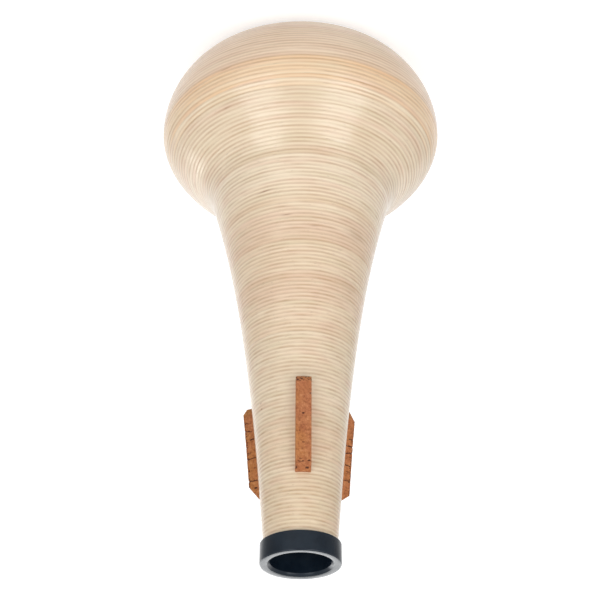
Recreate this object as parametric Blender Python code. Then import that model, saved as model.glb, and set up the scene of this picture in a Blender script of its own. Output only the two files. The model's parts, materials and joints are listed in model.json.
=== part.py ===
# Bass trombone straight mute: a hollow turned wooden bell, glued up from ring courses,
# with a black collar on its mouth and three cork strips on its neck.
# The mute stands on its closed end: z = 0 is the resting face, the mouth is at the top.
# All sizes below are millimetres; the model is built in metres.

import bisect
import math

import bmesh
import bpy
from mathutils import Vector

MM = 0.001

# Overall length, from the resting face to the rim of the collar.
LENGTH = 287.0

# Outer outline of the wood: height of each station and radius there.
BASE_RADIUS = 46.8
SHOULDER_HEIGHT = 12.0
SHOULDER_RADIUS = 67.5
GIRTH_HEIGHT = 38.0
GIRTH_RADIUS = 75.9
FLARE_HEIGHT = 68.6
FLARE_RADIUS = 55.6
WAIST_HEIGHT = 81.3
WAIST_RADIUS = 47.5
NECK_HEIGHT = 189.5
NECK_RADIUS = 26.3
TIP_RADIUS = 17.85

# Lean of the outline at each station, in degrees: 0 runs straight up, plus leans inwards.
BASE_LEAN = -90.0
SHOULDER_LEAN = -35.0
GIRTH_LEAN = 0.0
FLARE_LEAN = 50.0
WAIST_LEAN = 16.5
NECK_LEAN = 7.2
TIP_LEAN = 4.6

# Wood wall, measured square to the surface, in the bowl and at the mouth.
BOWL_WALL = 6.0
TIP_WALL = 3.3

# Glued courses: the end board, then equal courses, then the neck course under the collar.
END_BOARD_THICKNESS = 10.0
BODY_COURSES = 16
NECK_COURSE_LENGTH = 20.0
GLUE_LINE = 0.3

# Collar.
COLLAR_RADIUS = 19.5
COLLAR_HEIGHT = 10.0
COLLAR_BORE_RADIUS = 14.6
COLLAR_BORE_CHAMFER = 0.8
COLLAR_EDGE_ROUND = 0.5
SPIGOT_WALL = 1.4
SPIGOT_LENGTH = 7.0
COLLAR_CLEARANCE = 0.3

# Cork strips.
CORK_WIDTH = 7.5
CORK_THICKNESS = 5.8
CORK_CORNER = 0.5
CORK_GLUE_LINE = 0.3
CORK_TURN = -3.0

# Each strip, cut by hand: distance of its near and far end from the rim, the length of the
# bevel on each end, and the thickness left where the bevel stops.
FRONT_CORK = {
    "near": 38.7, "near_bevel": 1.2, "near_lip": 2.5,
    "far": 85.6, "far_bevel": 1.4, "far_lip": 2.5,
}
RIGHT_CORK = {
    "near": 36.2, "near_bevel": 7.4, "near_lip": 0.6,
    "far": 86.6, "far_bevel": 2.6, "far_lip": 3.4,
}
LEFT_CORK = {
    "near": 36.1, "near_bevel": 4.2, "near_lip": 0.6,
    "far": 86.5, "far_bevel": 5.0, "far_lip": 2.0,
}

# Facets.
SIDES = 48
OUTLINE_STEPS = 48
END_BOARD_ROWS = 5
NECK_ROWS = 1
BOWL_ROWS = 4
CORK_ROWS = 8
CORK_COLUMNS = 4

# Colours: four tones of the same pale wood, cork and the black collar.
CREAM = (0.80, 0.69, 0.53)
WARM = (0.77, 0.62, 0.43)
PINK = (0.74, 0.57, 0.43)
STRAW = (0.80, 0.62, 0.38)
CORK_COLOUR = (0.50, 0.21, 0.075)
BLACK = (0.022, 0.024, 0.028)

# Tone of each ring course, from the one on the end board up to the neck course.
COURSE_TONES = (
    PINK, PINK, STRAW, CREAM, CREAM, CREAM, WARM, PINK, WARM,
    PINK, WARM, CREAM, CREAM, CREAM, WARM, CREAM, CREAM,
)


def clear_scene():
    for obj in list(bpy.data.objects):
        bpy.data.objects.remove(obj)


def make_material(name, colour, roughness, metallic=0.0):
    material = bpy.data.materials.new(name)
    material.use_nodes = True
    shader = material.node_tree.nodes["Principled BSDF"]
    shader.inputs["Base Color"].default_value = (*colour, 1.0)
    shader.inputs["Roughness"].default_value = roughness
    shader.inputs["Metallic"].default_value = metallic
    return material


def add_object(name, bm, material):
    bmesh.ops.recalc_face_normals(bm, faces=bm.faces)
    mesh = bpy.data.meshes.new(name)
    bm.to_mesh(mesh)
    bm.free()
    mesh.shade_smooth()
    mesh.set_sharp_from_angle(angle=math.radians(35.0))
    mesh.materials.append(material)
    obj = bpy.data.objects.new(name, mesh)
    bpy.context.scene.collection.objects.link(obj)
    return obj


def turn(section):
    """Turn a closed section of (radius, height) points about Z; radius 0 is the axis."""
    bm = bmesh.new()
    verts = [bm.verts.new((radius * MM, 0.0, height * MM)) for radius, height in section]
    on_axis = [radius == 0.0 for radius, _ in section]
    for index, vert in enumerate(verts):
        following = (index + 1) % len(verts)
        if not (on_axis[index] and on_axis[following]):
            bm.edges.new((vert, verts[following]))
    bmesh.ops.spin(
        bm,
        geom=bm.verts[:] + bm.edges[:],
        cent=(0.0, 0.0, 0.0),
        axis=(0.0, 0.0, 1.0),
        angle=math.tau,
        steps=SIDES,
        use_merge=True,
    )
    bmesh.ops.remove_doubles(bm, verts=bm.verts, dist=0.001 * MM)
    return bm


# Outline of the wood

def curve_between(start, end, steps):
    """Smooth curve from one station to the next, each (height, radius, lean)."""
    chord = math.dist(start[:2], end[:2])
    turned = math.radians(end[2] - start[2])
    reach = chord * (1.0 + turned * turned / 24.0)
    # A lean of -90 at the base runs straight outwards along the resting face.
    out = [Vector((math.cos(math.radians(lean)), -math.sin(math.radians(lean)))) * reach
           for lean in (start[2], end[2])]
    first = Vector(start[:2])
    last = Vector(end[:2])
    points = []
    for step in range(steps + 1):
        u = step / steps
        point = (
            first * (2 * u ** 3 - 3 * u ** 2 + 1)
            + out[0] * (u ** 3 - 2 * u ** 2 + u)
            + last * (3 * u ** 2 - 2 * u ** 3)
            + out[1] * (u ** 3 - u ** 2)
        )
        points.append(point)
    return points


def wood_outline():
    """Outer outline of the wood, from the resting face up to the collar."""
    stations = (
        (0.0, BASE_RADIUS, BASE_LEAN),
        (SHOULDER_HEIGHT, SHOULDER_RADIUS, SHOULDER_LEAN),
        (GIRTH_HEIGHT, GIRTH_RADIUS, GIRTH_LEAN),
        (FLARE_HEIGHT, FLARE_RADIUS, FLARE_LEAN),
        (WAIST_HEIGHT, WAIST_RADIUS, WAIST_LEAN),
        (NECK_HEIGHT, NECK_RADIUS, NECK_LEAN),
        (WOOD_TOP, TIP_RADIUS, TIP_LEAN),
    )
    points = [Vector(stations[0][:2])]
    for start, end in zip(stations, stations[1:]):
        points += curve_between(start, end, OUTLINE_STEPS)[1:]
    return points


def wall_at(height):
    """Wall thickness: even in the bowl, thinning evenly from the waist to the mouth."""
    share = (height - WAIST_HEIGHT) / (WOOD_TOP - WAIST_HEIGHT)
    share = min(max(share, 0.0), 1.0)
    return BOWL_WALL + (TIP_WALL - BOWL_WALL) * share


def inner_outline(outer):
    """The outer outline set in by the wall, square to the surface."""
    points = []
    for before, here, after in zip(outer, outer[1:], outer[2:]):
        along = (after - before).normalized()
        inwards = Vector((along.y, -along.x))
        point = here + inwards * wall_at(here.x)
        if not points or point.x > points[-1].x:
            points.append(point)
    return points


def read_off(line, place):
    """Second value of a line of points where its first is place; its ends run on straight."""
    firsts = [point[0] for point in line]
    index = min(max(bisect.bisect_right(firsts, place), 1), len(line) - 1)
    low = line[index - 1]
    high = line[index]
    share = (place - low[0]) / (high[0] - low[0])
    return low[1] + (high[1] - low[1]) * share


def spread(low, high, rows):
    return [low + (high - low) * row / rows for row in range(rows + 1)]


def course_heights(outline):
    """Heights of the glue lines: equal lengths of outline, then the neck course."""
    run = [0.0]
    for low, high in zip(outline, outline[1:]):
        run.append(run[-1] + (high - low).length)
    heights = [point.x for point in outline]
    first = read_off(list(zip(heights, run)), END_BOARD_THICKNESS)
    last = run[-1] - NECK_COURSE_LENGTH
    levels = [read_off(list(zip(run, heights)), place) for place in spread(first, last, BODY_COURSES)]
    return levels + [WOOD_TOP]


WOOD_TOP = LENGTH - COLLAR_HEIGHT
OUTER = wood_outline()
INNER = inner_outline(OUTER)
LEVELS = course_heights(OUTER)
SPIGOT_RADIUS = COLLAR_BORE_RADIUS + SPIGOT_WALL


# Wood

def build_end_board(material):
    top = END_BOARD_THICKNESS - GLUE_LINE
    section = [(0.0, 0.0), (BASE_RADIUS, 0.0)]
    # Near the flat the outline runs outwards, so the rows lie closer together there.
    for share in spread(0.0, 1.0, END_BOARD_ROWS)[1:]:
        height = top * share ** 2
        section.append((read_off(OUTER, height), height))
    section.append((0.0, top))
    return add_object("end_board", turn(section), material)


def course_section(bottom, top, rows):
    outer = [(read_off(OUTER, height), height) for height in spread(bottom, top, rows)]
    inner = [(read_off(INNER, height), height) for height in spread(top, bottom, rows)]
    return outer + inner


def build_courses(materials):
    for number, (bottom, top) in enumerate(zip(LEVELS[:-2], LEVELS[1:-1]), start=1):
        rows = BOWL_ROWS if bottom < WAIST_HEIGHT else NECK_ROWS
        section = course_section(bottom, top - GLUE_LINE, rows)
        add_object(f"course_{number:02d}", turn(section), materials[number - 1])


def build_neck_course(material):
    """Last course: counterbored at its top for the spigot of the collar."""
    bottom = LEVELS[-2]
    seat_radius = SPIGOT_RADIUS + COLLAR_CLEARANCE
    seat_floor = WOOD_TOP - SPIGOT_LENGTH - COLLAR_CLEARANCE
    section = [(read_off(OUTER, height), height) for height in spread(bottom, WOOD_TOP, NECK_ROWS)]
    section += [
        (seat_radius, WOOD_TOP),
        (seat_radius, seat_floor),
        (read_off(INNER, seat_floor), seat_floor),
        (read_off(INNER, bottom), bottom),
    ]
    add_object("neck_course", turn(section), material)


# Collar

def rounded_corner(centre, radius, start, end, steps):
    """Points on an arc about (radius, height) centre, angles in degrees from outwards."""
    points = []
    for angle in spread(start, end, steps):
        points.append((
            centre[0] + radius * math.cos(math.radians(angle)),
            centre[1] + radius * math.sin(math.radians(angle)),
        ))
    return points


def build_collar(material):
    foot = WOOD_TOP + COLLAR_CLEARANCE
    spigot_end = WOOD_TOP - SPIGOT_LENGTH
    edge = COLLAR_EDGE_ROUND
    rim_corner = (COLLAR_RADIUS - edge, LENGTH - edge)
    foot_corner = (COLLAR_RADIUS - edge, foot + edge)
    section = [
        (COLLAR_BORE_RADIUS, spigot_end),
        (SPIGOT_RADIUS, spigot_end),
        (SPIGOT_RADIUS, foot),
    ]
    section += rounded_corner(foot_corner, edge, -90.0, 0.0, 2)
    section += rounded_corner(rim_corner, edge, 0.0, 90.0, 3)
    section += [
        (COLLAR_BORE_RADIUS + COLLAR_BORE_CHAMFER, LENGTH),
        (COLLAR_BORE_RADIUS, LENGTH - COLLAR_BORE_CHAMFER),
    ]
    add_object("mouth_collar", turn(section), material)


# Cork strips

def cork_height(distance, strip):
    """Thickness of a strip at a distance from the rim: full, but bevelled at its ends."""
    near_rise = (CORK_THICKNESS - strip["near_lip"]) / strip["near_bevel"]
    far_rise = (CORK_THICKNESS - strip["far_lip"]) / strip["far_bevel"]
    near = strip["near_lip"] + near_rise * (distance - strip["near"])
    far = strip["far_lip"] + far_rise * (strip["far"] - distance)
    return min(near, far, CORK_THICKNESS)


def cork_stations(strip):
    """Distances from the rim of a strip's cross-sections, end to end."""
    near_full = strip["near"] + strip["near_bevel"]
    far_full = strip["far"] - strip["far_bevel"]
    return [strip["near"]] + spread(near_full, far_full, CORK_ROWS) + [strip["far"]]


def cork_section(distance, strip):
    """Cross-section of a strip: its underside follows the round neck, its corners are eased."""
    height = LENGTH - distance
    seat = read_off(OUTER, height) + CORK_GLUE_LINE
    crown = seat + cork_height(distance, strip)
    half = 0.5 * CORK_WIDTH
    under = []
    for across in spread(-half, half, CORK_COLUMNS):
        under.append((across, math.sqrt(seat * seat - across * across)))
    ease = 0.5 * CORK_CORNER
    top = [
        (half, crown - ease),
        (half - ease, crown),
        (0.0, crown + 0.5 * ease),
        (ease - half, crown),
        (-half, crown - ease),
    ]
    return [(across, -out, height) for across, out in under + top]


def build_cork(name, strip, turn_degrees, material):
    bm = bmesh.new()
    rings = []
    for distance in cork_stations(strip):
        ring = []
        for x, y, z in cork_section(distance, strip):
            ring.append(bm.verts.new((x * MM, y * MM, z * MM)))
        rings.append(ring)
    for low, high in zip(rings, rings[1:]):
        for index in range(len(low)):
            following = (index + 1) % len(low)
            bm.faces.new((low[index], low[following], high[following], high[index]))
    bm.faces.new(rings[0])
    bm.faces.new(rings[-1])
    obj = add_object(name, bm, material)
    obj.rotation_euler.z = math.radians(turn_degrees)
    return obj


def build_corks(material):
    strips = (
        ("cork_front", FRONT_CORK),
        ("cork_right", RIGHT_CORK),
        ("cork_left", LEFT_CORK),
    )
    for index, (name, strip) in enumerate(strips):
        angle = CORK_TURN + index * 360.0 / len(strips)
        build_cork(name, strip, angle, material)


def build():
    clear_scene()
    tones = {}
    for tone in (CREAM, WARM, PINK, STRAW):
        tones[tone] = make_material(f"wood_{len(tones) + 1}", tone, 0.55)
    cork = make_material("cork", CORK_COLOUR, 0.85)
    black = make_material("collar_black", BLACK, 0.38)
    build_end_board(tones[PINK])
    build_courses([tones[tone] for tone in COURSE_TONES])
    build_neck_course(tones[COURSE_TONES[-1]])
    build_collar(black)
    build_corks(cork)


build()
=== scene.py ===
# %% [markdown]
# # A straight mute for bass trombone
#
# The mute is a hollow wooden bottle that stands on its closed end with its
# mouth up. It is glued up from thin laths of wood bent into rings, turned on
# a lathe, lacquered, and finished with a black mouth collar and three cork
# strips that hold it in the bell of the instrument.
#
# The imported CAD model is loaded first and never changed. It says where each
# piece is and how big it is. Everything below is built around it, in metres.

# %% Load the frame
import json
import math
import random

import bmesh
import bpy
import numpy as np
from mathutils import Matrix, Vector, noise

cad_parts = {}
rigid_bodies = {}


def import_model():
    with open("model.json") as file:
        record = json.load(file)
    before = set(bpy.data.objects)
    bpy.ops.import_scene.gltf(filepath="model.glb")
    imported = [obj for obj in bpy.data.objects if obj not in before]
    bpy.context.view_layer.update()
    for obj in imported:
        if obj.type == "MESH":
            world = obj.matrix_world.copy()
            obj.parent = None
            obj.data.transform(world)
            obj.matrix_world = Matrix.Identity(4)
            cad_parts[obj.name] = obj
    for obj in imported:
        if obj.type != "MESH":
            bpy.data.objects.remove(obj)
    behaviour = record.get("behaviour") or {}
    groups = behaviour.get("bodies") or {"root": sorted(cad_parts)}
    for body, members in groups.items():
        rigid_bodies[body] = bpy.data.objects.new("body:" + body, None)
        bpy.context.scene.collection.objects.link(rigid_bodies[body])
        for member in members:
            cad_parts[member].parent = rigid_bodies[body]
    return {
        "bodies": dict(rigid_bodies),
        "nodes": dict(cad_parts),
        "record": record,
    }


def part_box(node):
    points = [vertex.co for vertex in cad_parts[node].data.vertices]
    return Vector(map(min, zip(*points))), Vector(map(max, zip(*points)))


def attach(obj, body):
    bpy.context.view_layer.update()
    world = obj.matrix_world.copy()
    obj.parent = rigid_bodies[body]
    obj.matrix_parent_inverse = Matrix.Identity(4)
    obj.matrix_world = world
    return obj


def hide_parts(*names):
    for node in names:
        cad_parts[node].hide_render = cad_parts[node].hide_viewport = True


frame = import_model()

MM = 0.001

kept = list(frame["nodes"].values()) + list(frame["bodies"].values())
for thing in list(bpy.data.objects):
    if thing not in kept:
        bpy.data.objects.remove(thing)

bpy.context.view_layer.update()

# %% [markdown]
# ## The outline that the lathe leaves
#
# On the real mute one sweep of the chisel runs from the edge of the closed
# end over the round bowl and up the neck. In the CAD model that sweep is cut
# into courses with a few flat facets each. We could draw a new outline by
# hand, but then it would drift from the solids. So we measure the radius of
# every CAD course at each of its heights and run one smooth curve through
# those stations, which is what a flexible lath bent round pins would do.

# %% Measure the courses
COURSES = [f"course_{k:02d}" for k in range(1, 17)] + ["neck_course"]


def stations(node):
    """Height, outer radius and inner radius at each level of a CAD node."""
    levels = {}
    for vertex in frame["nodes"][node].data.vertices:
        levels.setdefault(round(vertex.co.z, 5), []).append(vertex.co.xy.length)
    return [(z, max(radii), min(radii)) for z, radii in sorted(levels.items())]


outer_stations = [(z, out) for z, out, _ in stations("end_board")[:-1]]
for name in COURSES[:-1]:
    outer_stations += [(z, out) for z, out, _ in stations(name)[:-1]]
neck_levels = stations("neck_course")
outer_stations += [neck_levels[0][:2], neck_levels[-1][:2]]
print("outer stations:", len(outer_stations), "widest radius, mm:",
      round(max(r for _, r in outer_stations) / MM, 2))

# %% [markdown]
# ## One smooth line
#
# The stations are some millimetres apart, and straight lines between them
# would show as facets. A lath bent round pins takes the shape of a cubic
# curve, so one is run through the stations, with the distance from pin to
# pin as its running length. It gives the radius at any height and the point
# at any length along the surface.

# %% Bend one smooth line through the stations
LINE_STEP = 0.1 * MM
TANGENT_REACH = 0.3 * MM


def bent_line(knots, values, at):
    """A natural cubic curve through values at knots, read at the places in at."""
    gaps = np.diff(knots)
    slopes = np.diff(values) / gaps
    size = len(knots)
    matrix = np.eye(size)
    right = np.zeros(size)
    for k in range(1, size - 1):
        matrix[k, k - 1:k + 2] = gaps[k - 1], 2 * (gaps[k - 1] + gaps[k]), gaps[k]
        right[k] = 6 * (slopes[k] - slopes[k - 1])
    bend = np.linalg.solve(matrix, right)
    k = np.clip(np.searchsorted(knots, at) - 1, 0, size - 2)
    gap = gaps[k]
    ahead = at - knots[k]
    behind = knots[k + 1] - at
    return (bend[k] * behind**3 / (6 * gap) + bend[k + 1] * ahead**3 / (6 * gap)
            + (values[k] / gap - bend[k] * gap / 6) * behind
            + (values[k + 1] / gap - bend[k + 1] * gap / 6) * ahead)


station_z = np.array([z for z, _ in outer_stations])
station_r = np.array([r for _, r in outer_stations])
chord = np.concatenate([[0], np.cumsum(np.hypot(np.diff(station_z), np.diff(station_r)))])
places = np.linspace(0, chord[-1], int(chord[-1] / LINE_STEP))
LINE_Z = bent_line(chord, station_z, places)
LINE_R = np.minimum(bent_line(chord, station_r, places), station_r.max())
LINE_RUN = np.concatenate([[0], np.cumsum(np.hypot(np.diff(LINE_Z), np.diff(LINE_R)))])
print("length along the outline, mm:", round(LINE_RUN[-1] / MM, 1))


def run_at(height):
    """Length along the outline from the closed end up to a height."""
    return float(np.interp(height, LINE_Z, LINE_RUN))


def radius_at(height):
    """Radius of the outline at a height."""
    return float(np.interp(height, LINE_Z, LINE_R))


def on_line(run):
    """Radius and height of the outline at a length along it."""
    return float(np.interp(run, LINE_RUN, LINE_R)), float(np.interp(run, LINE_RUN, LINE_Z))


def outward(run):
    """The direction square to the outline, as radius and height parts."""
    (r0, z0), (r1, z1) = on_line(run - TANGENT_REACH), on_line(run + TANGENT_REACH)
    length = math.hypot(r1 - r0, z1 - z0)
    return (z1 - z0) / length, (r0 - r1) / length


# %% [markdown]
# ## Where the laths lie
#
# Each course is eight thin laths glued flat on each other, so a ring joint
# shows every two millimetres along the surface. Turning and sanding leave a
# shallow hollow at each joint, because the glue line and the edges of the
# laths wear a little faster than their middles. We keep one running number,
# counted in laths from the closed end, for every point of the wood. Its
# whole part is the lath and its fraction the place across the lath.

# %% Number the laths
LATHS_IN_COURSE = 8
starts = [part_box(name)[0].z for name in COURSES] + [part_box("neck_course")[1].z]
course_runs = [run_at(z) for z in starts]
LATH_WIDTH = (course_runs[-2] - course_runs[0]) / (LATHS_IN_COURSE * (len(COURSES) - 1))
neck_laths = round((course_runs[-1] - course_runs[-2]) / LATH_WIDTH)
lath_counts = [LATHS_IN_COURSE] * (len(COURSES) - 1) + [neck_laths]
first_lath = np.concatenate([[0], np.cumsum(lath_counts)])
LATH_TOTAL = int(first_lath[-1])
print("laths:", LATH_TOTAL, "each", round(LATH_WIDTH / MM, 2), "mm wide along the surface")


def lath_at(run):
    """The running lath number at a length along the outline."""
    numbers = [-course_runs[0] / LATH_WIDTH] + list(first_lath)
    return float(np.interp(run, [0] + course_runs, numbers))


# %% [markdown]
# ## Tones of the wood
#
# The laths come from different boards, so bands of slightly different tone
# follow each other up the mute. Each course keeps the finish that the record
# gives it. The bands are listed, and were adjusted over several renders
# until the mean tone of the rings came close to the photograph's. Within a
# band each lath gets a small shift of its own from a seeded draw, which is
# the same on each run.

# %% A tone for every lath
# From the closed end: the first lath of a band, and how much darker it is.
TONE_BANDS = [
    (0, -0.4), (2, -0.12), (8, -0.25), (15, 0.5), (16, 0.7), (18, 0.3), (21, 0.5), (22, -0.2),
    (24, 0.2), (32, 0.0), (34, 0.25), (36, -0.05), (40, 0.4), (41, -0.5), (52, 0.05), (53, 0.3),
    (54, -0.25), (57, 0.05), (58, 0.1), (63, 0.35), (65, -0.05), (73, 0.4), (75, 0.05),
    (81, 0.05), (85, 0.15), (99, -0.2), (105, -0.05), (109, 0.35), (112, 0.15), (124, 0.7),
]
DRAW_SPREAD = 0.2
DRAW_SEED = 41

draw = random.Random(DRAW_SEED)
band_starts = [first for first, _ in TONE_BANDS]
lath_tone = []
for lath in range(LATH_TOTAL + 1):
    band = np.searchsorted(band_starts, lath, side="right") - 1
    lath_tone.append(TONE_BANDS[band][1] + draw.uniform(-DRAW_SPREAD, DRAW_SPREAD))
print("lath tones from", round(min(lath_tone), 2), "to", round(max(lath_tone), 2))

# Small marks in the wood: height in mm, angle from the front in degrees
# (towards +X), half length along the ring and half thickness in mm, and how
# dark each one is. The last four lie on the side that the photograph hides
# and are made up, in the manner of the others.
MARKS = [
    (99.5, 26, 4.3, 0.45, 0.9), (114.0, 11, 3.4, 0.40, 0.8), (120.0, -11, 2.4, 0.35, 0.5),
    (41.0, 31, 3.4, 0.50, 0.7), (58.3, 35, 2.6, 0.45, 0.5), (51.0, -27, 2.2, 0.45, 0.35),
    (118.5, -48, 9.0, 4.5, 0.22), (74.0, -23.5, 4.0, 0.80, -0.6), (147.0, -50, 7.0, 4.0, 0.12),
    (212.0, 54, 0.6, 0.40, 0.9), (209.0, 54, 0.6, 0.40, 0.9), (66.0, 150, 4.0, 0.50, 0.7),
    (30.0, 200, 5.0, 0.50, 0.6), (140.0, 170, 3.0, 0.40, 0.8), (180.0, 230, 2.5, 0.40, 0.6),
]
MARK_SLANT = 0.04
MARK_REACH = 6
MARK_FADE = 1.4


def mark_at(height, angle, radius):
    """How strongly the small marks colour a place on the wood."""
    total = 0.0
    for mark_z, mark_angle, half, thick, dark in MARKS:
        along = (math.remainder(angle - math.radians(mark_angle), 2 * math.pi)) * radius
        up = height - mark_z * MM - MARK_SLANT * along
        reach = (along / (half * MM))**2 + (up / (thick * MM))**2
        if reach < MARK_REACH:
            total += dark * math.exp(-MARK_FADE * reach)
    return total


# %% [markdown]
# ## Turning a ring
#
# A ring could be a tube primitive with its vertices pushed about. It is
# closer to the lathe, and cleaner, to draw half of the cut-through section
# and spin it once round the axis. The spin keeps the ring joints as rows of
# vertices, so the hollows can be pressed in afterwards, a little deeper in
# one place and shallower in another, as hand sanding leaves them.

# %% The spin and the hollows
ROUND_STEPS = 192
HOLLOW_DEPTH = 0.13 * MM
SEAM = 0.02 * MM
ACROSS_LATH = (0.0, 0.12, 0.3, 0.5, 0.7, 0.88)
SHARP_ANGLE = math.radians(38)
WELD = 0.002 * MM
SANDING_TURNS = 3.2
SANDING_PER_LATH = 1.7
SANDING_SHARE = 0.4
SANDING_GAIN = 1.6
LATH_SLACK = 0.02
BOARD_SLACK = -0.01


def spun(name, section):
    """A turned piece: the closed section, given as radius and height, once round."""
    work = bmesh.new()
    points = [work.verts.new((r, 0, z)) for r, z in section]
    edges = [work.edges.new((a, b)) for a, b in zip(points, points[1:] + points[:1])]
    bmesh.ops.spin(work, geom=points + edges, cent=(0, 0, 0), axis=(0, 0, 1),
                   dvec=(0, 0, 0), angle=2 * math.pi, steps=ROUND_STEPS,
                   use_merge=True, use_duplicate=False)
    bmesh.ops.remove_doubles(work, verts=work.verts, dist=WELD)
    bmesh.ops.recalc_face_normals(work, faces=work.faces)
    return finished(name, work)


def finished(name, work):
    """Turns a working mesh into an object at the origin, with smooth faces."""
    mesh = bpy.data.meshes.new(name)
    for face in work.faces:
        face.smooth = True
    work.to_mesh(mesh)
    work.free()
    mesh.set_sharp_from_angle(angle=SHARP_ANGLE)
    piece = bpy.data.objects.new(name, mesh)
    bpy.context.scene.collection.objects.link(piece)
    return piece


def front_angle(x, y):
    """Angle round the mute, from the side that faces the camera towards +X."""
    return math.atan2(x, -y)


def sanding(angle, lath):
    """How deep a hollow is worn at a place: between 0.6 and 1.4."""
    place = Vector((SANDING_TURNS * math.cos(angle), SANDING_TURNS * math.sin(angle),
                    SANDING_PER_LATH * round(lath)))
    return 1 + SANDING_SHARE * max(-1.0, min(1.0, SANDING_GAIN * noise.noise(place)))


def press_hollows(piece, inner_at):
    """Presses the joint hollows in and writes the lath number, tone and marks."""
    mesh = piece.data
    laths = mesh.attributes.new("lath", "FLOAT", "POINT").data
    tones = mesh.attributes.new("tone", "FLOAT", "POINT").data
    marks = mesh.attributes.new("mark", "FLOAT", "POINT").data
    for vertex, lath_value, tone_value, mark_value in zip(mesh.vertices, laths, tones, marks):
        x, y, z = vertex.co
        radius = math.hypot(x, y)
        run = run_at(z)
        lath = lath_at(run)
        lath_value.value = lath
        tone_value.value = lath_tone[max(0, min(LATH_TOTAL, math.floor(lath + LATH_SLACK)))]
        if radius < (inner_at(z) + radius_at(z)) / 2:
            continue
        angle = front_angle(x, y)
        mark_value.value = mark_at(z, angle, radius)
        if lath < BOARD_SLACK:
            continue
        across = abs(2 * (lath - math.floor(lath)) - 1)
        depth = HOLLOW_DEPTH * sanding(angle, lath) * across**2
        side, up = outward(run)
        vertex.co.x -= depth * side * x / radius
        vertex.co.y -= depth * side * y / radius
        vertex.co.z -= depth * up


# %% [markdown]
# ## The courses
#
# The outside follows the smooth outline, row by row across each lath. The
# inside only has to be hollow, so it keeps the CAD model's own inner
# stations. Each course fills the thin glue gap that the CAD model leaves
# above it, except for a hairline, so that the wood reads as one body.

# %% Turn the sixteen courses and the neck
inner_line = sorted((z, inner) for name in COURSES[:-1] for z, _, inner in stations(name))
inner_line += [(neck_levels[0][0], neck_levels[0][2]), (neck_levels[1][0], neck_levels[1][2])]
INNER_Z = [z for z, _ in inner_line]
INNER_R = [r for _, r in inner_line]
SEAT_Z, SEAT_R = neck_levels[1][0], neck_levels[2][2]
INNER_MARGIN = 1 * MM


def inner_at(height):
    """Radius of the hollow at a height."""
    return float(np.interp(height, INNER_Z, INNER_R))


def course_rows(k):
    """The outer section of a course, from its bottom joint to its top joint."""
    bottom, top = course_runs[k], course_runs[k + 1]
    width = (top - bottom) / lath_counts[k]
    runs = [bottom + (n + t) * width for n in range(lath_counts[k]) for t in ACROSS_LATH]
    return [on_line(run) for run in runs] + [on_line(top - SEAM)]


turned = {}
for k, name in enumerate(COURSES):
    rows = course_rows(k)
    low, high = rows[0][1], rows[-1][1]
    if name == "neck_course":
        inside = [(SEAT_R, high), (SEAT_R, SEAT_Z), (inner_at(SEAT_Z), SEAT_Z)]
    else:
        inside = [(inner_at(high), high)]
    heights = [z for z in INNER_Z if low + INNER_MARGIN < z < min(high, SEAT_Z) - INNER_MARGIN]
    inside += [(inner_at(z), z) for z in reversed(heights)] + [(inner_at(low), low)]
    piece = spun(f"turned_{name}", rows + inside)
    press_hollows(piece, inner_at)
    turned[name] = piece
print("turned courses:", len(turned), "faces:", sum(len(p.data.polygons) for p in turned.values()))

# %% [markdown]
# ## The end board
#
# A solid board closes the big end. Its edge is turned to carry the shoulder
# of the bowl down to the flat that the mute stands on. It has no laths, so
# it only gets plain rows along its edge.

# %% Turn the end board
BOARD_ROWS = 28
board_top = course_runs[0]
board_rows = [on_line(board_top * n / BOARD_ROWS) for n in range(BOARD_ROWS)]
board_rows.append(on_line(board_top - SEAM))
board_high = board_rows[-1][1]
board_section = [(0.0, 0.0)] + board_rows + [(0.0, board_high)]
turned["end_board"] = spun("turned_end_board", board_section)
press_hollows(turned["end_board"], lambda height: 0.0)
print("end board height, mm:", round(board_high / MM, 2))

# %% [markdown]
# ## The mouth collar
#
# The collar is turned from black plastic: a head that stands a little proud
# of the wood, with eased edges and a chamfered bore, and a spigot that is
# glued into the neck. Its rim is dished by a hair towards the bore, which
# makes its near side look thinner and brighter than its far side, as in the
# photograph. The head rests on the end of the wood here, where the CAD model
# leaves the glue line open.

# %% Turn the collar
head_low = stations("neck_course")[-1][0]
collar_levels = stations("mouth_collar")
RIM_Z = collar_levels[-1][0]
HEAD_R = max(out for _, out, _ in collar_levels)
RIM_BORE_R = collar_levels[-1][2]
BORE_R = min(inner for _, _, inner in collar_levels)
SPIGOT_Z, SPIGOT_R = collar_levels[0][:2]
EDGE = 0.7 * MM
EDGE_STEPS = 5
LIP = 0.25 * MM
RIM_OPENING = RIM_BORE_R + 0.35 * MM
RIM_DISH = 0.2 * MM
LIP_STEPS = 3
HAIRLINE = 0.01 * MM


def eased(centre_r, centre_z, radius, start, stop, steps=EDGE_STEPS):
    """Points of a small rounded edge, turning from one angle to another."""
    turn = [math.radians(start + (stop - start) * n / steps) for n in range(steps + 1)]
    return [(centre_r + radius * math.cos(a), centre_z + radius * math.sin(a)) for a in turn]


chamfer_z = RIM_Z - RIM_DISH - (RIM_OPENING - BORE_R)
collar_section = [(SPIGOT_R, SPIGOT_Z), (SPIGOT_R, head_low + HAIRLINE)]
collar_section += eased(HEAD_R - LIP, head_low + HAIRLINE + LIP, LIP, -90, 0)
collar_section += eased(HEAD_R - EDGE, RIM_Z - EDGE, EDGE, 0, 90)
collar_section += eased(RIM_OPENING + LIP, RIM_Z - RIM_DISH - LIP, LIP, 90, 135, LIP_STEPS)
collar_section += eased(BORE_R + LIP, chamfer_z - LIP, LIP, 135, 180, LIP_STEPS)
collar_section += [(BORE_R, SPIGOT_Z)]
collar = spun("turned_mouth_collar", collar_section)
print("collar head, mm:", round(2 * HEAD_R / MM, 1), "across,",
      round((RIM_Z - head_low) / MM, 1), "high")

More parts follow.
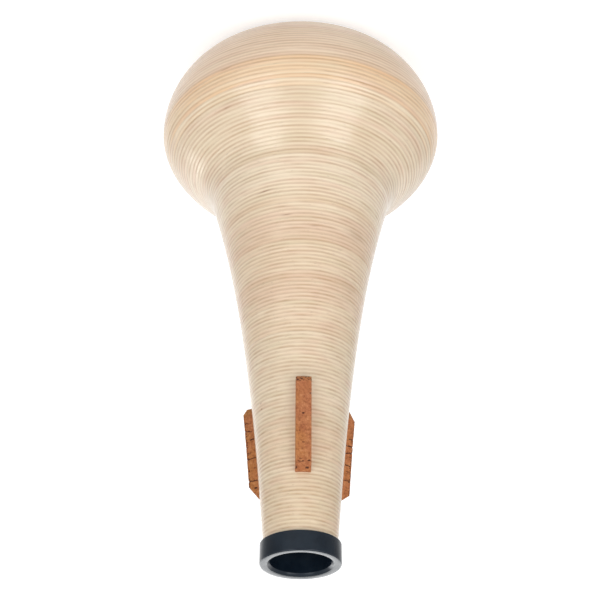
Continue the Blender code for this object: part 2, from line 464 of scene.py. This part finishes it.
# %% [markdown]
# ## The cork strips
#
# Three strips of sheet cork are glued along the neck a third of a turn
# apart. They grip the bell of the instrument and leave slots between them
# for the air. The CAD solids have the right length, bevels and curved
# undersides, so each strip starts as a merged copy of its solid. A fine
# voxel remesh then gives it enough points for the pits, crumbled corners
# and cross cracks of real cork, which are pressed in as shape.

# %% Copy the strips and give them fine skin
CORK_VOXEL = 0.25 * MM
GLUE_REACH = 0.55 * MM
PIT_DEPTH = 0.16 * MM
CORK_WELD = 0.01 * MM
SUNK = 0.06 * MM


def fine_copy(node):
    """A merged and finely remeshed copy of a CAD solid."""
    work = bmesh.new()
    work.from_mesh(frame["nodes"][node].data)
    bmesh.ops.remove_doubles(work, verts=work.verts, dist=CORK_WELD)
    mesh = bpy.data.meshes.new(f"{node}_strip")
    work.to_mesh(mesh)
    work.free()
    piece = bpy.data.objects.new(f"{node}_strip", mesh)
    bpy.context.scene.collection.objects.link(piece)
    skin = piece.modifiers.new("fine skin", "REMESH")
    skin.mode = "VOXEL"
    skin.voxel_size = CORK_VOXEL
    skin.use_smooth_shade = True
    graph = bpy.context.evaluated_depsgraph_get()
    shaped = bpy.data.meshes.new_from_object(piece.evaluated_get(graph))
    piece.modifiers.clear()
    piece.data = shaped
    return piece


# %% [markdown]
# ## Pits, channels and bark
#
# Cork grows with dark channels across it, and its bark side crumbles. The
# channels could be painted on, but on the real strips they catch shadow, so
# they are pressed into the fine mesh, with pits all over. The mesh also
# carries a number that lets the material darken a place: how open a channel
# is there, the crumbling bark at the low end of the front strip, and, on the
# side strips, patches along the outer face that are partly wear and partly
# painted shade.

# %% Press in pits and channels, and darken the bark
# Each channel: height, place across the strip and depth in it (all mm,
# across counted towards the +X side of a strip that faces the camera), how
# far it reaches across and in depth, how thick it is, how deep it opens, and
# how it slants. Those on faces that the photograph hides are made up.
CHANNELS = {
    "cork_front": [
        (221.4, 0.3, 5.8, 0.5, 1.0, 0.45, 0.5, 0), (211.1, -3.3, 5.8, 0.5, 1.5, 0.5, 0.4, 0),
        (244.2, 1.3, 5.8, 0.6, 1.0, 0.30, 0.3, 0), (245.6, 1.2, 5.8, 1.3, 1.0, 0.25, 0.3, 0),
        (245.2, -2.7, 5.8, 0.7, 1.5, 0.35, 0.4, 0), (248.0, -1.8, 5.8, 0.7, 2.0, 0.40, 0.3, 0),
        (247.8, 3.5, 5.5, 0.5, 2.0, 0.50, 0.3, 0), (236.0, 0.0, 5.8, 0.6, 1.0, 0.30, 0.2, 0),
    ],
    "cork_right": [
        (213.0, -3.7, 4.3, 1.5, 1.7, 0.32, 0.45, -0.18),
        (217.7, -3.7, 2.6, 1.2, 1.0, 0.36, 0.45, 0),
        (228.3, -3.7, 3.4, 1.5, 2.6, 0.26, 0.30, 0.1), (240.4, -3.7, 3.0, 2.0, 3.2, 0.34, 0.50, 0),
        (208.5, -3.7, 4.6, 1.0, 1.0, 0.22, 0.20, -0.2), (225.3, -3.7, 4.4, 0.8, 0.5, 0.35, 0.25, 0),
        (222.0, 0.4, 5.8, 3.0, 2.0, 0.30, 0.35, 0), (235.0, -0.5, 5.8, 2.2, 2.0, 0.30, 0.35, 0),
        (233.5, -3.7, 2.0, 0.8, 0.5, 0.30, 0.20, 0), (244.5, -3.7, 2.4, 0.8, 0.7, 0.45, 0.25, 0),
        (210.0, 3.7, 3.0, 1.6, 3.0, 0.30, 0.35, 0), (231.0, 3.7, 3.0, 1.6, 3.0, 0.30, 0.40, 0.1),
    ],
    "cork_left": [
        (211.4, 3.7, 0.8, 1.2, 0.7, 0.45, 0.40, 0), (220.0, 3.7, 3.0, 1.8, 3.2, 0.36, 0.50, 0),
        (224.2, 3.7, 3.0, 1.8, 3.2, 0.34, 0.45, -0.3), (230.7, 3.7, 3.4, 1.2, 0.8, 0.38, 0.45, 0),
        (230.9, 3.7, 5.2, 1.0, 0.6, 0.35, 0.40, 0), (239.2, 3.7, 3.0, 1.6, 3.2, 0.24, 0.30, 0),
        (234.3, 3.7, 4.4, 1.0, 1.2, 0.22, 0.20, 0), (225.9, 3.7, 5.2, 0.8, 0.6, 0.30, 0.30, 0),
        (216.0, 0.5, 5.8, 3.2, 2.0, 0.28, 0.35, 0), (237.0, -0.8, 5.8, 2.0, 2.0, 0.30, 0.30, 0),
        (228.0, -3.7, 3.0, 1.6, 3.0, 0.30, 0.40, 0), (242.0, -3.7, 3.0, 1.6, 3.0, 0.26, 0.35, 0),
    ],
}
BARK_END = 205.2
BARK_LEAD = 2.2
BARK_FADE = 1.6
BARK_GAIN = 3.2
STRIP_THICK = 5.6
# Patches along the outer face of the side strips: partly wear, partly painted shade.
WEAR_AND_SHADE_EDGE = 0.5
WEAR_AND_SHADE_GAIN = 2.4
CHANNEL_WANDER = 0.35
CHANNEL_ENDS = 3
CHANNEL_BASE, CHANNEL_CRUMB = 0.85, 0.5

# How often each noise changes, per mm, and how the pits are made from it.
CRUMB_GRAIN, BARK_GRAIN, WEAR_AND_SHADE_GRAIN = 1.3, 1.7, 1.9
WIDE_PITS, SMALL_PITS = 0.9, 2.1
PIT_SHARE = 0.5
PIT_FLOOR = 0.12
PIT_GAIN = 2
BARK_SHIFT = Vector((5, 0, 0))


def faded(distance, reach):
    """1 inside a reach, falling to 0 half as far again."""
    return max(0.0, min(1.0, (1.5 * reach - distance) / (0.5 * reach)))


def channel_at(node, across, depth, height, crumb):
    """How open the channels of a strip are at a place, and how deep (mm)."""
    openness = pressed = 0.0
    for mid_z, mid_across, mid_depth, reach, depth_reach, thick, deep, slant in CHANNELS[node]:
        off = (height - mid_z - slant * (depth - mid_depth) + CHANNEL_WANDER * crumb) / thick
        if abs(off) > CHANNEL_ENDS:
            continue
        share = math.exp(-off * off) * (CHANNEL_BASE + CHANNEL_CRUMB * crumb)
        share *= faded(abs(across - mid_across), reach) * faded(abs(depth - mid_depth), depth_reach)
        openness = max(openness, share)
        pressed = max(pressed, share * deep)
    return openness, pressed


def roughen(piece, node):
    """Sits a strip on the wood, presses in pits and channels, and writes where channels, bark, edge
    wear and painted edge shade darken it.
    """
    mesh = piece.data
    crack_and_shade_data = mesh.attributes.new("crack_bark_and_edge_shade", "FLOAT", "POINT").data
    low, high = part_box(node)
    middle = (low + high) / 2
    centre_angle = front_angle(middle.x, middle.y)
    normals = [v.normal.copy() for v in mesh.vertices]
    for vertex, normal, crack_and_shade in zip(mesh.vertices, normals, crack_and_shade_data):
        x, y, z = vertex.co
        radius = math.hypot(x, y)
        wood = radius_at(z)
        if radius < wood + GLUE_REACH:
            scale = (wood - SUNK) / radius
            vertex.co.x *= scale
            vertex.co.y *= scale
            continue
        across = math.sin(front_angle(x, y) - centre_angle) * radius / MM
        place = Vector((x, y, z)) / MM
        crumb = noise.noise(place * CRUMB_GRAIN)
        pits = noise.noise(place * WIDE_PITS) * PIT_SHARE
        pits += noise.noise(place * SMALL_PITS) * PIT_SHARE
        depth = PIT_DEPTH * max(0.0, pits - PIT_FLOOR) * PIT_GAIN
        share, pressed = channel_at(node, across, (radius - wood) / MM, z / MM, crumb)
        if node == "cork_front":
            bark = faded(z / MM - BARK_END + BARK_LEAD, BARK_FADE)
            bark *= noise.noise(place * BARK_GRAIN + BARK_SHIFT)
            share = max(share, BARK_GAIN * bark)
        else:
            # Side strips: patches along the outer face, partly wear and partly painted shade.
            wear_and_shade = faded(abs((radius - wood) / MM - STRIP_THICK), WEAR_AND_SHADE_EDGE)
            wear_and_shade *= noise.noise(place * WEAR_AND_SHADE_GRAIN)
            share = max(share, WEAR_AND_SHADE_GAIN * wear_and_shade)
        crack_and_shade.value = share
        vertex.co -= normal * max(depth, pressed * MM)


strips = {}
for node in ("cork_front", "cork_right", "cork_left"):
    strips[node] = fine_copy(node)
    roughen(strips[node], node)
    print(node, "faces:", len(strips[node].data.polygons))

# %% [markdown]
# ## A short way to write materials
#
# Each finish is a small network of shader nodes. Writing every node and
# link in full would bury the recipe, so this little bench adds a node, sets
# its values by name and links its inputs in one line.

# %% The shader bench


class Bench:
    """Adds and joins the nodes of one material."""

    def __init__(self, name):
        self.material = bpy.data.materials.new(name)
        self.material.use_nodes = True
        self.tree = self.material.node_tree
        self.tree.nodes.clear()
        self.shader = self.node("ShaderNodeBsdfPrincipled")
        output = self.node("ShaderNodeOutputMaterial")
        self.tree.links.new(self.shader.outputs["BSDF"], output.inputs["Surface"])

    def node(self, kind, **settings):
        """A new node with its own settings."""
        made = self.tree.nodes.new(kind)
        for key, value in settings.items():
            setattr(made, key, value)
        return made

    def feed(self, socket, value):
        """Links an output to an input, or sets a plain value on it."""
        if isinstance(value, bpy.types.NodeSocket):
            self.tree.links.new(value, socket)
        else:
            socket.default_value = value

    def math(self, operation, *values):
        """One calculation with one to three values."""
        made = self.node("ShaderNodeMath", operation=operation)
        for socket, value in zip(made.inputs, values):
            self.feed(socket, value)
        return made.outputs[0]

    def vector(self, operation, *values, **inputs):
        """One calculation with vectors."""
        made = self.node("ShaderNodeVectorMath", operation=operation)
        for socket, value in zip(made.inputs, values):
            self.feed(socket, value)
        for key, value in inputs.items():
            self.feed(made.inputs[key.title()], value)
        return made.outputs[0]

    def span(self, value, low, high, to_low=0.0, to_high=1.0):
        """Spreads a value from one range over another, held at its ends."""
        made = self.node("ShaderNodeMapRange", clamp=True)
        for socket, number in zip(made.inputs[:5], (value, low, high, to_low, to_high)):
            self.feed(socket, number)
        return made.outputs[0]

    def mix(self, share, first, second):
        """Two colours mixed by a share."""
        made = self.node("ShaderNodeMix", data_type="RGBA")
        for index, value in zip((0, 6, 7), (share, first, second)):
            self.feed(made.inputs[index], value)
        return made.outputs[2]

    def cloud(self, place, scale, detail=2.0, rough=0.5):
        """Soft noise at a place."""
        made = self.node("ShaderNodeTexNoise")
        for key, value in (("Vector", place), ("Scale", scale),
                           ("Detail", detail), ("Roughness", rough)):
            self.feed(made.inputs[key], value)
        return made.outputs["Fac"]

    def cells(self, place, scale):
        """Distance to the nearest of many scattered points."""
        made = self.node("ShaderNodeTexVoronoi")
        self.feed(made.inputs["Vector"], place)
        self.feed(made.inputs["Scale"], scale)
        return made.outputs["Distance"]

    def read(self, attribute):
        """A number that the mesh carries at each point."""
        return self.node("ShaderNodeAttribute", attribute_name=attribute).outputs["Fac"]

    def place(self):
        """The point on the piece, in metres."""
        return self.node("ShaderNodeTexCoord").outputs["Object"]

    def bump(self, height, strength, distance):
        """Fine relief, too small for the mesh."""
        made = self.node("ShaderNodeBump")
        self.feed(made.inputs["Strength"], strength)
        self.feed(made.inputs["Distance"], distance)
        self.feed(made.inputs["Height"], height)
        self.feed(self.shader.inputs["Normal"], made.outputs["Normal"])

    def set(self, **values):
        """Sets or links the shader's inputs by name."""
        for key, value in values.items():
            self.feed(self.shader.inputs[key.replace("_", " ")], value)


def linear(red, green, blue):
    """A colour as it looks on screen (0 to 255), in the shader's own numbers."""
    parts = [c / 255 for c in (red, green, blue)]
    return tuple(c / 12.92 if c <= 0.04045 else ((c + 0.055) / 1.055)**2.4 for c in parts) + (1.0,)


# %% [markdown]
# ## Lacquered ring wood
#
# The wood is pale and close grained, with its fibres running round the
# mute. The colour starts from the course's own tone. Over it lie a small
# shift for each lath, streaks that run along the ring, a slow drift from
# place to place, wider stretches that turn a little rosy or a little olive,
# a darker brown towards each joint that comes and goes, fine pores, and the
# small marks. The brown at each joint is partly the glue line and partly
# painted shade of the shallow hollow there, spread from the joint over most
# of the lath. The streaks must follow the ring without a seam, so their
# noise is read on a unit circle, with the lath number as its height. A thin
# satin lacquer lies over it all, as a clear coat, so the wood keeps its
# colour where it faces us and turns whitish where it turns away.

# %% Ring wood in four tones
ROSY = linear(238, 204, 178)
OLIVE = linear(230, 214, 180)
# The joint brown is partly the glue line and partly painted shade of the joint hollow.
JOINT_LINE_AND_SHADE_BROWN = linear(176, 126, 76)
PORE_BROWN = linear(150, 110, 78)
MARK_BROWN = linear(146, 88, 54)
MARK_CREAM = linear(252, 238, 214)

# How often each pattern changes: per radian round the ring, and per lath.
STREAKS, FIBRES, HUES = (2.2, 2.3), (6.0, 9.0), (1.6, 0.45)
JOINT_PATCHES, PORES = (2.6, 0.9), (14.0, 5.0)
DRIFT_SCALE = 24.0

# How strongly each layer shows.
STREAK_GAIN, DRIFT_GAIN = 1.5, 1.1
PALEST, DARKEST = -0.6, 1.4
ROSY_SHARE, OLIVE_SHARE = 0.45, 0.40
JOINT_WANDER, JOINT_LINE_AND_SHADE_LEAST, JOINT_LINE_AND_SHADE_MOST = 0.10, 0.12, 0.60
PORE_SHARE = 0.3
LACQUER_ROUGHNESS = 0.16
WOOD_RELIEF = 0.03 * MM


def ring_wood(name, pale, shade):
    """Wood laid up in rings: the colours of its palest and its darkest laths."""
    wood = Bench(name)
    place = wood.place()
    flat = wood.vector("MULTIPLY", place, (1.0, 1.0, 0.0))
    circle = wood.vector("NORMALIZE", flat)
    lath = wood.read("lath")

    def along_ring(turns, per_lath):
        """Noise place: so many changes per radian, and so many per lath."""
        scaled = wood.vector("SCALE", circle, scale=turns)
        height = wood.node("ShaderNodeCombineXYZ")
        wood.feed(height.inputs["Z"], wood.math("MULTIPLY", lath, per_lath))
        return wood.vector("ADD", scaled, height.outputs[0])

    streak = wood.cloud(along_ring(*STREAKS), 1.0, 3.0, 0.6)
    fibre = wood.cloud(along_ring(*FIBRES), 1.0, 2.0, 0.6)
    drift = wood.cloud(place, DRIFT_SCALE, 1.0)
    shift = wood.math("SUBTRACT", streak, 0.5)
    shift = wood.math("MULTIPLY_ADD", shift, STREAK_GAIN, wood.read("tone"))
    shift = wood.math("MULTIPLY_ADD", wood.math("SUBTRACT", drift, 0.5), DRIFT_GAIN, shift)
    base = wood.mix(wood.span(shift, PALEST, DARKEST), pale, shade)
    hue = wood.cloud(along_ring(*HUES), 1.0, 2.0)
    rosy = wood.mix(wood.span(hue, 0.52, 0.70, 0.0, ROSY_SHARE), base, ROSY)
    base = wood.mix(wood.span(hue, 0.48, 0.30, 0.0, OLIVE_SHARE), rosy, OLIVE)

    wander = wood.math("MULTIPLY", wood.math("SUBTRACT", fibre, 0.5), JOINT_WANDER)
    across = wood.math("FRACT", wood.math("ADD", lath, wander))
    from_middle = wood.math("ABSOLUTE", wood.math("MULTIPLY_ADD", across, 2.0, -1.0))
    # Darker towards each joint: partly the glue line, partly painted shade of the joint hollow.
    joint = wood.span(from_middle, 0.1, 1.0)
    patches = wood.cloud(along_ring(*JOINT_PATCHES), 1.0, 2.0)
    joint_line_and_shade_share = wood.span(patches, 0.3, 0.7, JOINT_LINE_AND_SHADE_LEAST, JOINT_LINE_AND_SHADE_MOST)
    lined_and_shaded = wood.mix(wood.math("MULTIPLY", joint, joint_line_and_shade_share), base, JOINT_LINE_AND_SHADE_BROWN)

    pores = wood.span(wood.cloud(along_ring(*PORES), 1.0, 1.0), 0.66, 0.8)
    pored = wood.mix(wood.math("MULTIPLY", pores, PORE_SHARE), lined_and_shaded, PORE_BROWN)

    mark = wood.math("MULTIPLY", wood.read("mark"), wood.span(fibre, 0.3, 0.7, 0.5, 1.2))
    dark_mark = wood.mix(wood.span(mark, 0.02, 1.0), pored, MARK_BROWN)
    pale_mark = wood.mix(wood.span(mark, -0.02, -1.0), dark_mark, MARK_CREAM)

    wood.set(Base_Color=pale_mark, Roughness=wood.span(fibre, 0.3, 0.7, 0.5, 0.62),
             IOR=1.5, Specular_IOR_Level=0.1,
             Coat_Weight=1.0, Coat_Roughness=LACQUER_ROUGHNESS, Coat_IOR=1.5)
    relief = wood.math("MULTIPLY_ADD", joint, -0.6, fibre)
    wood.bump(relief, 0.5, WOOD_RELIEF)
    return wood.material


WOODS = {
    "cream_wood": ring_wood("cream_wood", linear(253, 235, 208), linear(227, 202, 168)),
    "warm_wood": ring_wood("warm_wood", linear(253, 234, 206), linear(226, 193, 156)),
    "pink_wood": ring_wood("pink_wood", linear(251, 227, 200), linear(224, 189, 155)),
    "straw_wood": ring_wood("straw_wood", linear(253, 236, 208), linear(246, 200, 150)),
}
print("wood finishes:", sorted(WOODS))

# %% [markdown]
# ## Black satin plastic
#
# The collar is a blue-black plastic, polished to a satin. The photograph is
# too coarse to show its finish close up, so the fine turning lines round its
# head and the few dull smudges are a guess. It must stay dark where it faces
# us and turn pale where light grazes it. A pale rim could be painted on, but
# it would stay pale from every side, so that is left to the shader's own
# Fresnel gloss.

# %% Collar plastic
BLUE_BLACK = (0.006, 0.011, 0.019, 1.0)
DULL_BLACK = (0.010, 0.017, 0.027, 1.0)
COOL_GLOSS = (0.88, 0.95, 1.0, 1.0)

plastic = Bench("collar_plastic")
spot = plastic.place()
turning = plastic.cloud(plastic.vector("MULTIPLY", spot, (60.0, 60.0, 3000.0)), 1.0, 2.0)
smudge = plastic.cloud(spot, 160.0, 2.0)
tint = plastic.mix(plastic.span(smudge, 0.35, 0.65), BLUE_BLACK, DULL_BLACK)
plastic.set(Base_Color=tint, Roughness=plastic.span(smudge, 0.3, 0.7, 0.18, 0.26), IOR=1.33,
            Specular_Tint=COOL_GLOSS)
plastic.bump(turning, 0.06, 0.006 * MM)
print("collar plastic nodes:", len(plastic.tree.nodes))

# %% [markdown]
# ## Cork
#
# Sheet cork is a warm brown body of tiny cells, crossed by darker specks of
# bark in all sizes. Two layers of scattered cells give the specks, fine
# noise gives the dark and light crumb, and the cracks that were pressed
# into the mesh are almost black at their bottom. The same number from the
# mesh darkens the crumbling bark, and patches along the outer face of the
# side strips, which are partly wear and partly painted shade. The colour
# wanders between rosy and golden, turns a little olive at the ends far from
# the mouth, where the bark shows, and is lighter on the strip at -X, as if
# that one came from another part of the sheet. A picture of cork could be
# wrapped round the strips, but this recipe has no seams and stays sharp
# close up.

# %% Cork skin
CORK_TAN, CORK_BROWN = linear(193, 126, 78), linear(179, 110, 66)
CORK_ROSY, CORK_GOLDEN = linear(184, 112, 82), linear(198, 132, 68)
CORK_LIGHT, CORK_OLIVE = linear(216, 138, 86), linear(150, 114, 64)
CRUMB_DARK, CRUMB_LIGHT = linear(128, 70, 40), linear(222, 164, 112)
SPECK_BROWN, CRACK_AND_SHADE_BROWN = linear(84, 44, 28), linear(62, 26, 16)
LIGHT_FROM, LIGHT_FULL = -4 * MM, -12 * MM
OLIVE_FROM, OLIVE_FULL = 205.5 * MM, 202.5 * MM
CRUMB_SCALE, PATCH_SCALE, WANDER_SCALE = 760.0, 230.0, 70.0
COARSE_SPECKS, FINE_SPECKS = 330.0, 1300.0
CORK_RELIEF = 0.12 * MM

cork = Bench("cork_skin")
spot = cork.place()
crumb = cork.cloud(spot, CRUMB_SCALE, 3.0, 0.7)
patch = cork.cloud(spot, PATCH_SCALE, 2.0)
wander = cork.cloud(spot, WANDER_SCALE, 1.0)
body = cork.mix(cork.span(patch, 0.3, 0.7), CORK_TAN, CORK_BROWN)
body = cork.mix(cork.span(wander, 0.35, 0.65, 0.0, 0.45), body, CORK_ROSY)
body = cork.mix(cork.span(wander, 0.5, 0.25, 0.0, 0.5), body, CORK_GOLDEN)
where = cork.node("ShaderNodeSeparateXYZ")
cork.feed(where.inputs[0], spot)
lighter = cork.span(where.outputs["X"], LIGHT_FROM, LIGHT_FULL, 0.0, 0.45)
body = cork.mix(lighter, body, CORK_LIGHT)
olive = cork.span(where.outputs["Z"], OLIVE_FROM, OLIVE_FULL, 0.0, 0.45)
body = cork.mix(olive, body, CORK_OLIVE)
body = cork.mix(cork.span(crumb, 0.48, 0.72, 0.0, 0.8), body, CRUMB_DARK)
body = cork.mix(cork.span(crumb, 0.44, 0.26, 0.0, 0.7), body, CRUMB_LIGHT)
coarse = cork.span(cork.cells(spot, COARSE_SPECKS), 0.06, 0.15, 1.0, 0.0)
coarse = cork.math("MULTIPLY", coarse, cork.span(patch, 0.5, 0.6))
fine = cork.span(cork.cells(spot, FINE_SPECKS), 0.14, 0.26, 1.0, 0.0)
fine = cork.math("MULTIPLY", fine, cork.span(crumb, 0.48, 0.62))
specks = cork.math("MAXIMUM", coarse, cork.math("MULTIPLY", fine, 0.5))
body = cork.mix(cork.math("MULTIPLY", specks, 0.8), body, SPECK_BROWN)
# Channels, bark, and the side strips' edge wear and painted edge shade darken here.
body = cork.mix(cork.span(cork.read("crack_bark_and_edge_shade"), 0.15, 0.75, 0.0, 0.95), body, CRACK_AND_SHADE_BROWN)
cork.set(Base_Color=body, Roughness=0.85, IOR=1.4)
cork.bump(cork.math("SUBTRACT", crumb, specks), 0.6, CORK_RELIEF)
print("cork nodes:", len(cork.tree.nodes))

# %% [markdown]
# ## Fit every piece to the frame
#
# Each new piece says which CAD node it stands for, which finish it takes
# from the record, and which body it moves with. A mute has no moving parts,
# so they all ride on the one body, root.

# %% Assign, replace and ride
SLOT_OF = {part["node"]: part["material_slot"] for part in frame["record"]["subparts"]}


def fit(piece, node, material):
    """Gives a piece its material and its place in the frame."""
    piece.data.materials.clear()
    piece.data.materials.append(material)
    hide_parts(node)
    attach(piece, "root")


for node, piece in turned.items():
    fit(piece, node, WOODS[SLOT_OF[node]])
for node, piece in strips.items():
    fit(piece, node, cork.material)
fit(collar, "mouth_collar", plastic.material)
print("fitted pieces:", len(turned) + len(strips) + 1)

# %% [markdown]
# ## The floor
#
# The photograph is cut out on white. A plain pale floor with a little light
# of its own, which lights nothing, comes out white to the camera and still
# keeps the soft shadow of the mute. In the lacquer such a floor would be
# white all round, and wash out the wood at the sides, which keeps its full
# colour in the photograph. So the glow shows in reflections in front of the
# mute, behind it and close round its foot, less at the sides, and less at
# -X than at +X. The place on the floor sets this, and not the camera. It is
# there to match the photograph's gloss, and a plain white floor would not
# do the same.

# %% The floor
FLOOR_HALF = 6.0
FLOOR_DROP = 0.2 * MM
FLOOR_GREY, FLOOR_PALE = (0.68, 0.68, 0.68, 1.0), (0.70, 0.70, 0.70, 1.0)
WHITE = (1.0, 1.0, 1.0, 1.0)

# Shares of a place's distance that lie ahead or behind; distances from the
# mute's axis; places along X; and the strength of the glow, near and far.
AHEAD_NONE, AHEAD_FULL = 0.5, 0.85
FOOT_NONE, FOOT_FULL = 0.40, 0.20
SIDE_LESS, SIDE_FULL, SIDE_SHARE = -0.4, 0.1, 0.6
NEAR, FAR, GLOW_NEAR, GLOW_FAR = 0.8, 2.0, 0.58, 0.90

work = bmesh.new()
bmesh.ops.create_grid(work, x_segments=1, y_segments=1, size=FLOOR_HALF)
bmesh.ops.translate(work, verts=work.verts, vec=(0, 0, -FLOOR_DROP))
floor_mesh = bpy.data.meshes.new("floor")
work.to_mesh(floor_mesh)
work.free()
floor = bpy.data.objects.new("floor", floor_mesh)
bpy.context.scene.collection.objects.link(floor)


def joined(tree, operation, first, second):
    """One calculation with two linked values."""
    made = tree.nodes.new("ShaderNodeMath")
    made.operation = operation
    tree.links.new(first, made.inputs[0])
    tree.links.new(second, made.inputs[1])
    return made.outputs[0]


def seen_directly(tree, mirrored=None):
    """1 for the rays that show a surface directly, and mirrored for a reflection."""
    path = tree.nodes.new("ShaderNodeLightPath")
    either = joined(tree, "MAXIMUM", path.outputs["Is Camera Ray"],
                    path.outputs["Is Transmission Ray"])
    glossy = path.outputs["Is Glossy Ray"]
    if mirrored is not None:
        glossy = joined(tree, "MULTIPLY", glossy, mirrored)
    return joined(tree, "MAXIMUM", either, glossy)


pale = Bench("floor_pale")
grain = pale.cloud(pale.place(), 3.0, 1.0)
sides = pale.node("ShaderNodeSeparateXYZ")
pale.feed(sides.inputs[0], pale.place())
reach = pale.node("ShaderNodeVectorMath", operation="LENGTH")
pale.feed(reach.inputs[0], pale.place())
reach = reach.outputs["Value"]
ahead = pale.math("DIVIDE", pale.math("ABSOLUTE", sides.outputs["Y"]), reach)
mirrored = pale.math("MAXIMUM", pale.span(ahead, AHEAD_NONE, AHEAD_FULL),
                     pale.span(reach, FOOT_NONE, FOOT_FULL))
one_side = pale.span(sides.outputs["X"], SIDE_LESS, SIDE_FULL, SIDE_SHARE, 1.0)
mirrored = pale.math("MULTIPLY", mirrored, one_side)
glow = pale.math("MULTIPLY", seen_directly(pale.tree, mirrored),
                 pale.span(reach, NEAR, FAR, GLOW_NEAR, GLOW_FAR))
pale.set(Base_Color=pale.mix(grain, FLOOR_GREY, FLOOR_PALE), Roughness=0.8,
         Emission_Color=WHITE, Emission_Strength=glow)
floor_mesh.materials.append(pale.material)
print("floor, m:", 2 * FLOOR_HALF, "square, nodes:", len(pale.tree.nodes))

# %% [markdown]
# ## The surroundings
#
# Light from a pale room reaches the mute from all sides, so that no side
# falls into the dark. A dome could carry it, but the world's background does
# the same with no mesh. It lights at a low level, and looks white where it
# is seen directly or in the lacquer, as the photograph's background does.

# %% The surroundings
AMBIENT = 0.32

world = bpy.data.worlds.new("soft_white_room")
bpy.context.scene.world = world
world.use_nodes = True
room = world.node_tree
room.nodes.clear()
light_of_room = room.nodes.new("ShaderNodeBackground")
light_of_room.inputs["Color"].default_value = WHITE
strength = room.nodes.new("ShaderNodeMapRange")
for socket, number in zip(strength.inputs[1:5], (0.0, 1.0, AMBIENT, 1.0)):
    socket.default_value = number
room.links.new(seen_directly(room), strength.inputs[0])
room.links.new(strength.outputs[0], light_of_room.inputs["Strength"])
world_output = room.nodes.new("ShaderNodeOutputWorld")
room.links.new(light_of_room.outputs[0], world_output.inputs["Surface"])
print("ambient level:", AMBIENT)

# %% [markdown]
# ## Lamps
#
# Two tall soft lamps stand in front of the mute, one to each side and well
# above it. Together they light the front evenly over a wide arc and then
# fall off, which one lamp by the camera would not do. A long bright panel
# stands behind the mute, well over the height of the mouth, and gives the
# collar's rim its pale gloss. Two smaller cards behind the mute are there
# for the lacquer alone: the shoulders of the bowl turn whitish in the
# photograph, so the cards show in gloss and do not light the wood. They are
# a match to the photograph, which a real studio's lamps could not do in that
# way. All of them stand outside the camera's view.

# %% Soft panels


def panel(name, place, aim, size, radiance):
    """A soft rectangular lamp of a given brightness, turned to a point."""
    width, height = size
    lamp = bpy.data.lights.new(name, "AREA")
    lamp.shape = "RECTANGLE"
    lamp.size, lamp.size_y = width, height
    lamp.energy = radiance * math.pi * width * height
    holder = bpy.data.objects.new(name, lamp)
    holder.location = place
    holder.rotation_euler = (Vector(aim) - Vector(place)).to_track_quat("-Z", "Y").to_euler()
    bpy.context.scene.collection.objects.link(holder)
    print(name, "power, W:", round(lamp.energy, 2))
    return holder


MIDDLE = (0.0, 0.0, 0.13)
MOUTH = (0.0, 0.0, 0.287)
FRONT_SIZE, CARD_SIZE, BACK_SIZE = (0.98, 1.65), (0.6, 0.8), (2.2, 0.5)
LEFT_LEVEL, RIGHT_LEVEL, CARD_LEVEL, BACK_LEVEL = 2.62, 2.80, 0.65, 2.9

panel("left_panel", (0.84, -1.08, 1.32), MIDDLE, FRONT_SIZE, LEFT_LEVEL)
panel("right_panel", (-0.93, -1.02, 1.32), MIDDLE, FRONT_SIZE, RIGHT_LEVEL)
for side, name in ((1, "left_card"), (-1, "right_card")):
    card = panel(name, (side * 0.46, 0.85, 0.36), MIDDLE, CARD_SIZE, CARD_LEVEL)
    card.visible_diffuse = False
panel("back_panel", (0.4, 1.3, 0.72), MOUTH, BACK_SIZE, BACK_LEVEL)

# %% [markdown]
# ## The camera
#
# The photograph looks down on the mute at about 31 degrees and was then
# turned half a turn, so the mouth points down in it. The camera here is
# rolled by 180 degrees instead. For any one lens, the collar's ellipse gives
# the camera's distance and tilt. The lens comes from the rings, which look
# flatter near the mouth than at the big end, and it is an estimate: tests on
# the rings gave from about 80 to 180 mm, and 90 mm is a compromise.

# %% Place the camera
CAMERA_PLACE = (0.0003, -0.6698, 0.5424)
LOOK_DOWN = 0.539275
LENS = 90.0
SENSOR = 36.0
CLIP_NEAR, CLIP_FAR = 0.01, 50.0

view = bpy.data.cameras.new("photo_camera")
view.lens = LENS
view.sensor_width = SENSOR
view.clip_start = CLIP_NEAR
view.clip_end = CLIP_FAR
camera = bpy.data.objects.new("photo_camera", view)
camera.location = CAMERA_PLACE
camera.rotation_euler = (math.pi / 2 + LOOK_DOWN, math.pi, 0.0)
bpy.context.scene.collection.objects.link(camera)
bpy.context.scene.camera = camera
bpy.context.view_layer.update()
aim = camera.matrix_world.to_quaternion() @ Vector((0, 0, -1))
top = camera.matrix_world.to_quaternion() @ Vector((0, 1, 0))
print("camera looks along", [round(c, 3) for c in aim],
      "with its top towards", [round(c, 3) for c in top])

# %% [markdown]
#
# The Standard view shows a colour as it was set.

# %% Finish
bpy.context.scene.view_settings.view_transform = "Standard"
